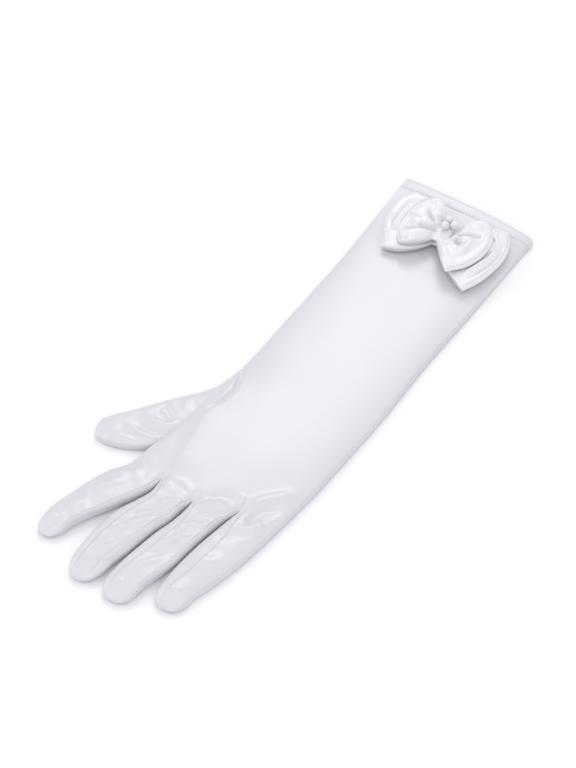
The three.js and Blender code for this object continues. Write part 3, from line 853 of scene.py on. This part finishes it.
UPPER_FOLDS = [
    ([(4.4, -32.1), (1.2, -32.2), (-2.2, -33.4), (-6, -36.2), (-9.8, -39.8), (-12.4, -41.8)],
     -4.6, 0.7, 2.2, 0.25),
    ([(-6, -36.2), (-9.4, -39.6), (-12.7, -42.1), (-18, -43.8)], -2.6, 0.6, 0.9),
    ([(-16.5, -46.8), (-9.2, -45), (-3.7, -39.9), (1.7, -35.2)], 1.5, 2.2),
    ([(-15.5, -48.6), (-11.9, -49.4), (-8.1, -48.3)], -0.9, 0.9),
    ([(-19.8, -37.6), (-16, -38), (-12, -38.6)], 2.6, 2.3, 2.6, 0.4),
    ([(-21, -34.4), (-16.8, -31.8), (-13.8, -31.2), (-9.8, -32.2)], -1.7, 0.8, 1.2),
    ([(-10.8, -35.4), (-7.4, -35.8), (-3, -33.4)], -1.5, 1.1),
    ([(-11.6, -24), (-10.2, -25.4), (-8.5, -26.8), (-6.2, -28.1), (-3.6, -29.2)], -3, 0.7, 1.4),
    ([(-7.4, -20), (-5.6, -23.4), (-2.6, -26.8)], 1.7, 2),
    ([(-14, -29.2), (-9.5, -28.6), (-4.4, -29.6)], -0.9, 0.5, 1),
    ([(-17.5, -20.5), (-12.5, -22.5), (-9, -23.4)], 0.8, 2),
    ([(-13.4, -15.4), (-9, -19), (-5.5, -22)], -0.7, 1),
    ([(9.2, -30.4), (12.1, -29.6), (15.3, -28.2), (19.5, -27.2), (23.4, -25.6)],
     -3.4, 0.55, 1.4, 0.2),
    ([(9.4, -27.4), (13, -24.6), (17.5, -23), (22, -23.2)], 1.4, 2.1),
    ([(9.8, -31.8), (13.4, -35.2), (15.8, -38.8)], -5.2, 1.6, 1.5, 0.3),
    ([(19.6, -29.4), (20, -33.7), (19.8, -38.4), (17.4, -42.6)], 2, 1.5),
    ([(5.2, -36.4), (7.6, -41), (11.2, -46), (15.2, -50.6)], 1.5, 2.4),
    ([(8, -41.2), (10.8, -39.8), (12.4, -37.1)], -1, 0.5),
    ([(12.6, -39), (15.2, -40.8), (17.6, -43.4)], 0.9, 1.2),
    ([(15.8, -48.2), (20.7, -43.9), (23.3, -37.1), (24.6, -29.3), (24.4, -23.8)], -1.1, 1.5),
]

# A ribbon's two layers: heights above the arm from the knot out to the wing's end. Its lines run
# along the ribbon, from its lower edge (-1) to its upper edge (1): how far each reaches on the
# thumb's and on the little finger's side, how high it ends, how far its root bulges sideways, and
# how straight it runs out.
LAYERS = "out low high"
LINES = "across thumb_reach little_reach thumb_y little_y bulge straight"
LOWER = {
    "flat": (0.071, 0.044),
    "layers": columns(
        LAYERS,
        (0, 1.9, 3.7), (0.2, 1.5, 4.6), (0.45, 0.9, 5.8),
        (0.7, 0.6, 6), (0.9, 0.5, 5.2), (1, 0.9, 4),
    ),
    "lines": columns(
        LINES,
        (-1, 25.6, 27.1, -24.4, -27.7, -2, 0.5),
        (-0.6, 29.9, 31.4, -15.6, -17, -1, 0.2),
        (-0.2, 34, 33.6, -6, -5.5, 0, 0),
        (0.2, 35.2, 33.8, 3, 4, 0, 0),
        (0.6, 34.8, 31.4, 11.5, 13.2, 0, 0),
        (1, 32.8, 27.1, 19, 20.6, 0, 0),
    ),
    "pleats": {"height": 0.4, "count": 3.0, "phase": 0.4},
    "wrinkle": 0.12,
    "seed": 41,
    "folds": LOWER_FOLDS,
}
UPPER = {
    "flat": (0.053, 0.038),
    "layers": columns(
        LAYERS,
        (0, 5, 7.6), (0.2, 5.2, 10.2), (0.45, 5.6, 12),
        (0.7, 6.1, 11.6), (0.9, 6.7, 10.4), (1, 7.2, 9.2),
    ),
    "lines": columns(
        LINES,
        (-1, 16.9, 15, -21, -25.6, -5.2, 1),
        (-0.6, 21.6, 21.6, -15.4, -18, -3.2, 0.7),
        (-0.2, 24.6, 25.2, -6.6, -9.2, -1, 0.3),
        (0.2, 24.6, 25.8, 2.4, 0.4, 0, 0),
        (0.6, 22.2, 23.6, 10.2, 9, 0, 0),
        (1, 17.4, 18.4, 17, 15.8, 0, 0),
    ),
    "pleats": {"height": 0.4, "count": 3.6, "phase": 1.1},
    "wrinkle": 0.2,
    "seed": 43,
    "folds": UPPER_FOLDS,
}
RIM_LINE = {"in": 1.35, "depth": 0.7, "width": 0.34, "bead_in": 0.65, "bead": 0.36, "bead_width": 0.4}
SIDE_RIM = 0.15  # how much of the rim's line also runs along a ribbon's long edges
RIM_START = 0.35  # the double line begins this far in from the very edge
RIM_CORNER = 1.2  # and ends this far from a wing's corners


def wing_point(lines, across, station):
    """Where a line across the ribbon is, at a signed station from one wing's end to the other's."""
    free = np.clip((np.abs(station) - KNOT_PART) / (1 - KNOT_PART), 0, 1)
    little = station > 0
    side = "little" if little else "thumb"
    reach = read(lines, side + "_reach", across)
    end_y = read(lines, side + "_y", across)
    straight = read(lines, "straight", across) if little else 0.0
    bulge = read(lines, "bulge", across) if little else 0.0
    fan = mix(np.sin(np.pi / 2 * free**FAN_POWER), free, straight)
    inside = np.clip(np.abs(station) / KNOT_PART, 0, 1) * KNOT_HALF
    x = BOW["x"] + np.sign(station) * (inside + (reach - KNOT_HALF) * free)
    x = x + bulge * (1 - free**2) * smoothstep(0, KNOT_CLEAR, free)
    waist = np.where(across < 0, WAIST["near"], WAIST["far"]) * across
    y = BOW["y"] + mix(waist, end_y, fan)
    return x, y, free


def ribbon_tube(shape, across, upper):
    """A ribbon's stuffed tube without its folds: its points and, for each row of them, how far
    out on its wing it lies and the height at which its two layers meet."""
    layers = shape["layers"]
    ends = np.sin(np.pi / 2 * np.linspace(0, 1, WING_ROWS)) ** END_CROWDING
    full = np.sqrt(np.maximum(1 - np.abs(across) ** EDGE_FULL["power"], 0))
    edge = EDGE_FULL["least"] + (1 - EDGE_FULL["least"]) * full
    rows, outs, partings = [], [], []
    for station in np.concatenate([-ends[::-1], ends[1:]]):
        x, y, free = wing_point(shape["lines"], across, station)
        low = read(layers, "low", free)
        high = read(layers, "high", free)
        rim = math.sqrt(np.clip(1 - ((free - (1 - RIM_ROUND)) / RIM_ROUND), 0, 1))
        middle = ARM_TOP + (low + high) / 2
        z = middle + upper * (high - low) / 2 * edge * rim
        rows.append(np.column_stack([x, y, z]))
        outs.append(free)
        partings.append(middle - rim * (PARTING["part"] * (high - low) / 2 - PARTING["over"]))
    return np.stack(rows), np.array(outs)[:, None], np.array(partings)[:, None]


def rim_distances(grid, half):
    """How far each point of a ribbon's layer lies in from its long edges and its wings' ends."""
    from_side = np.minimum(apart(grid, grid[:, :1]), apart(grid, grid[:, half - 1 : half]))
    return from_side, np.minimum(apart(grid, grid[:1]), apart(grid, grid[-1:]))


def rim_relief(inwards):
    """The pressed double line just inside an edge."""
    line = bell(inwards, RIM_LINE["in"], RIM_LINE["width"])
    bead = bell(inwards, RIM_LINE["bead_in"], RIM_LINE["bead_width"])
    return RIM_LINE["bead"] * bead - RIM_LINE["depth"] * line


def ribbon_relief(shape, grid, across, free):
    """A ribbon's gathers, folds, wrinkles and rim lines."""
    x, y = grid[:, :, 0], grid[:, :, 1]
    from_side, from_end = rim_distances(grid, WING_COLUMNS)
    inwards = np.minimum(from_side, from_end)
    pleats = shape["pleats"]
    gathers = pleats["height"] * np.sin(pleats["count"] * np.pi * across[None, :] + pleats["phase"])
    run_out = np.clip((free - GATHERS_REACH["from"]) / GATHERS_REACH["length"], 0, 1)
    gathers = gathers * np.sin(np.pi * run_out)
    fine = waves(x, y, shape["seed"], RIBBON_WAVES["count"], *RIBBON_WAVES["lengths"])
    wrinkles = shape["wrinkle"] * fine
    soft = (folded(x, y, shape["folds"]) + gathers + wrinkles) * smoothstep(0, SIDE_FADE, inwards)
    rims = rim_relief(from_end) * smoothstep(0, RIM_CORNER, from_side) + SIDE_RIM * rim_relief(from_side)
    rims = rims * smoothstep(0, RIM_START, inwards)
    return (soft + rims) * smoothstep(0, KNOT_CLEAR, free)


def build_ribbon(name, node, shape, satin):
    """One ribbon of the bow: a flat stuffed tube gathered at its middle, with a wing to each side."""
    half_ring = np.sin(np.pi / 2 * np.linspace(-1, 1, WING_COLUMNS))
    across = np.concatenate([half_ring, half_ring[::-1][1:-1]])
    on_top = np.arange(len(across)) < WING_COLUMNS
    grid, free, parting = ribbon_tube(shape, across, np.where(on_top, 1.0, -1.0))
    relief = ribbon_relief(shape, grid, across, free)
    z = grid[:, :, 2] + np.where(on_top, relief, UNDER_RELIEF * relief)
    grid[:, :, 2] = np.where(on_top, np.maximum(z, parting), np.minimum(z, parting))
    return make_piece(name, grid, satin, "ribbon_satin", [node])


KNOT = {
    "turns": 72, "sides": 26, "thickness": 0.55, "inset": 0.75, "width": 0.96, "pinch": 0.3,
    "flare": 0.10, "flank": 0.9, "squareness": 0.5, "crease": 0.22, "creases": 5, "sway": 1.5,
}


def knot_point(angle, around, half):
    """A point of the knot's strip: angle turns round the bow, and around round the strip itself."""
    c, s = math.cos(angle), math.sin(angle)
    u = math.cos(around)
    out = KNOT["thickness"] * math.sin(around)
    if math.sin(around) > 0:
        out += KNOT["crease"] * math.sin(KNOT["creases"] * u + KNOT["sway"] * math.sin(2 * angle))
    flank = math.copysign(abs(c) ** KNOT["flank"], c)
    crown = math.copysign(abs(s) ** KNOT["squareness"], s)
    x = half[0] * KNOT["width"] * u * (1 - KNOT["pinch"] * c**2)
    y = (half[1] - KNOT["inset"]) * (1 + KNOT["flare"] * u * u) * flank + out * c
    z = (half[2] - KNOT["inset"]) * crown + out * s
    return x, y, z


def build_knot(satin):
    """The strip of cloth wrapped round the gathered middle of the bow."""
    centre, half = node_box("bow_knot")
    grid = np.array([
        [
            knot_point(math.tau * i / KNOT["turns"], math.tau * j / KNOT["sides"], half / MM)
            for j in range(KNOT["sides"])
        ]
        for i in range(KNOT["turns"])
    ])
    grid = np.concatenate([grid, grid[:1]]) + (centre - SHIFT) / MM
    make_piece("bow_knot_wrap", grid, satin, "ribbon_satin", ["bow_knot"], flip=True)


BEAD = {"rings": 32, "sides": 48}


def build_pearls(material):
    turn = np.pi * np.arange(BEAD["rings"] + 1) / BEAD["rings"]
    around = math.tau * np.arange(BEAD["sides"]) / BEAD["sides"]
    x = np.sin(turn)[:, None] * np.cos(around)[None, :]
    y = np.sin(turn)[:, None] * np.sin(around)[None, :]
    z = np.cos(turn)[:, None] * np.ones(BEAD["sides"])[None, :]
    ball = np.stack([x, y, z], axis=2)
    for i in range(1, 4):
        centre, half = node_box(f"pearl_{i}")
        placed = (ball * half[0] + centre - SHIFT) / MM
        make_piece(f"pearl_bead_{i}", placed, material, "pearl", [f"pearl_{i}"])


# Materials

# Each satin's two tones, its middle roughness, the scale of its floats, how long they are drawn
# out along the cloth, and its specular level
SATINS = {
    "glove_satin": {
        "light": (0.645, 0.64, 0.68), "dark": (0.615, 0.61, 0.65), "roughness": 0.34,
        "weave": 2600.0, "streak": 0.22, "specular": 0.8,
    },
    "ribbon_satin": {
        "light": (0.775, 0.77, 0.81), "dark": (0.745, 0.74, 0.78), "roughness": 0.28,
        "weave": 2800.0, "streak": 0.25, "specular": 0.9,
    },
    # The thread's tones are darker than the cloth's: painted shade of the stitch holes along the hem's
    # stitch line
    "thread": {
        "light": (0.52, 0.515, 0.555), "dark": (0.45, 0.445, 0.485), "roughness": 0.5,
        "weave": 5200.0, "streak": 0.4, "specular": 0.4,
    },
}
SHEEN = {"Sheen_Weight": 0.25, "Sheen_Roughness": 0.35, "Anisotropic": 0.35}
ROUGHNESS_RANGE = 0.05  # how far the floats vary the roughness to both sides
FLOAT_BUMP = {"Strength": 0.25, "Distance": 0.00012}
FLOATS = {"Scale": 1.0, "Detail": 3.0}
CLOUDS = {"Scale": 26.0, "Detail": 4.0}  # the faint differences in tone
PEARL = {"light": (0.76, 0.755, 0.77), "dark": (0.66, 0.66, 0.70)}
PEARL_CLOUDS = {"Scale": 420.0, "Detail": 2.0}
PEARL_GLOSS = {"Roughness": 0.12, "Coat_Weight": 0.6, "Coat_Roughness": 0.06}
FLOOR_HALF = 3.0
FLOOR_LOOK = {"Base_Color": (0.88, 0.88, 0.885, 1), "Roughness": 0.9, "Specular_IOR_Level": 0.1}


def fill(tree, node, **values):
    """Sets a node's inputs, each to a value or to another node's output, which is linked."""
    for name, value in values.items():
        socket = node.inputs[name.replace("_", " ")]
        if isinstance(value, bpy.types.NodeSocket):
            tree.links.new(value, socket)
        else:
            socket.default_value = value


def new_node(tree, kind, output, **values):
    """One output of a new shader node with its inputs filled."""
    node = tree.nodes.new("ShaderNode" + kind)
    fill(tree, node, **values)
    return node.outputs[output]


def new_material(name):
    """A material, its node tree, its shader and the output that has the place on the object."""
    material = bpy.data.materials.new(name)
    material.use_nodes = True
    tree = material.node_tree
    return material, tree, tree.nodes["Principled BSDF"], new_node(tree, "TexCoord", "Object")


def tones(tree, look, factor):
    """A colour between a look's two tones."""
    node = tree.nodes.new("ShaderNodeMix")
    node.data_type = "RGBA"
    fill(tree, node, A=(*look["dark"], 1), B=(*look["light"], 1), Factor=factor)
    return node.outputs["Result"]


def satin_material(name):
    """Satin: fine floats along the cloth, a soft sheen and faint differences in tone."""
    look = SATINS[name]
    material, tree, shader, place = new_material(name)
    weave, rough = look["weave"], look["roughness"]
    drawn_out = (weave, weave * look["streak"], weave)
    along = new_node(tree, "Mapping", "Vector", Vector=place, Scale=drawn_out)
    floats = new_node(tree, "TexNoise", "Fac", Vector=along, **FLOATS)
    clouds = new_node(tree, "TexNoise", "Fac", Vector=place, **CLOUDS)
    limits = {"To_Min": rough - ROUGHNESS_RANGE, "To_Max": rough + ROUGHNESS_RANGE}
    fill(
        tree,
        shader,
        Base_Color=tones(tree, look, clouds),
        Roughness=new_node(tree, "MapRange", "Result", Value=floats, **limits),
        Normal=new_node(tree, "Bump", "Normal", Height=floats, **FLOAT_BUMP),
        Specular_IOR_Level=look["specular"],
        **SHEEN,
    )
    return material


def pearl_material():
    """Pearl lacquer: a clear coat over two faintly clouded tones."""
    material, tree, shader, place = new_material("pearl_gloss")
    clouds = new_node(tree, "TexNoise", "Fac", Vector=place, **PEARL_CLOUDS)
    fill(tree, shader, Base_Color=tones(tree, PEARL, clouds), **PEARL_GLOSS)
    return material


def floor_material():
    material, tree, shader, _ = new_material("pale_floor")
    fill(tree, shader, **FLOOR_LOOK)
    return material


# Camera, floor and light

AIM = Vector((0.00416, 0.00400, 0.0))
CAMERA = {"distance": 1.3338, "azimuth": 33.86, "elevation": 50.0, "lens": 121.9, "near": 0.05}
# Square soft lights: how far to the right of, away from and above the aim point as seen, their
# size and their power
LIGHTS = {
    "key": (0.15, 1.13, 1.25, 0.7, 5.0),
    "panel": (0.35, 1.25, 1.5, 1.6, 3.0),
    "front": (0.1, -1.5, 1.3, 2.6, 13.0),
    "top": (-0.15, -0.35, 1.6, 1.3, 3.6),
    "right": (1.5, -0.2, 1.0, 1.4, 3.5),
    "left": (-1.4, 0.3, 1.0, 1.2, 6.2),
}
WORLD = {"colour": (0.96, 0.97, 1.0), "strength": 0.64}


def stand(name, data, right, away, height):
    """Stands the camera or a light facing the aim point, by its place from there as seen."""
    azimuth = math.radians(CAMERA["azimuth"])
    across = Vector((math.cos(azimuth), math.sin(azimuth), 0))
    beyond = Vector((-math.sin(azimuth), math.cos(azimuth), 0))
    back = across * right + beyond * away + Vector((0, 0, height))
    thing = put(name, data)
    thing.location = AIM + back
    thing.rotation_euler = back.to_track_quat("Z", "Y").to_euler()
    return thing


def add_camera():
    data = bpy.data.cameras.new("view")
    data.lens = CAMERA["lens"]
    data.clip_start = CAMERA["near"]
    distance, elevation = CAMERA["distance"], math.radians(CAMERA["elevation"])
    away, height = -distance * math.cos(elevation), distance * math.sin(elevation)
    bpy.context.scene.camera = stand("view", data, 0, away, height)


def add_floor():
    corners = [(FLOOR_HALF * x, FLOOR_HALF * y, 0) for x, y in ((-1, -1), (1, -1), (1, 1), (-1, 1))]
    mesh_object("floor", corners, [(0, 1, 2, 3)], floor_material())


def add_light():
    for name, (right, away, height, size, power) in LIGHTS.items():
        data = bpy.data.lights.new(name, "AREA")
        data.size = size
        data.energy = power
        stand(name, data, right, away, height)
    world = bpy.data.worlds.new("studio")
    world.use_nodes = True
    background = world.node_tree.nodes["Background"]
    background.inputs["Color"].default_value = (*WORLD["colour"], 1)
    background.inputs["Strength"].default_value = WORLD["strength"]
    bpy.context.scene.world = world
    bpy.context.scene.view_settings.view_transform = "Standard"


add_camera()
add_floor()
add_light()
glove_satin = satin_material("glove_satin")
ribbon_satin = satin_material("ribbon_satin")
build_glove(glove_satin)
build_thumb(glove_satin)
build_hem(glove_satin)
build_hem_stitches(satin_material("thread"))
lower = build_ribbon("bow_lower_wings", "bow_lower_ribbon", LOWER, ribbon_satin)
upper = build_ribbon("bow_upper_wings", "bow_upper_ribbon", UPPER, ribbon_satin)
build_knot(ribbon_satin)
build_pearls(pearl_material())
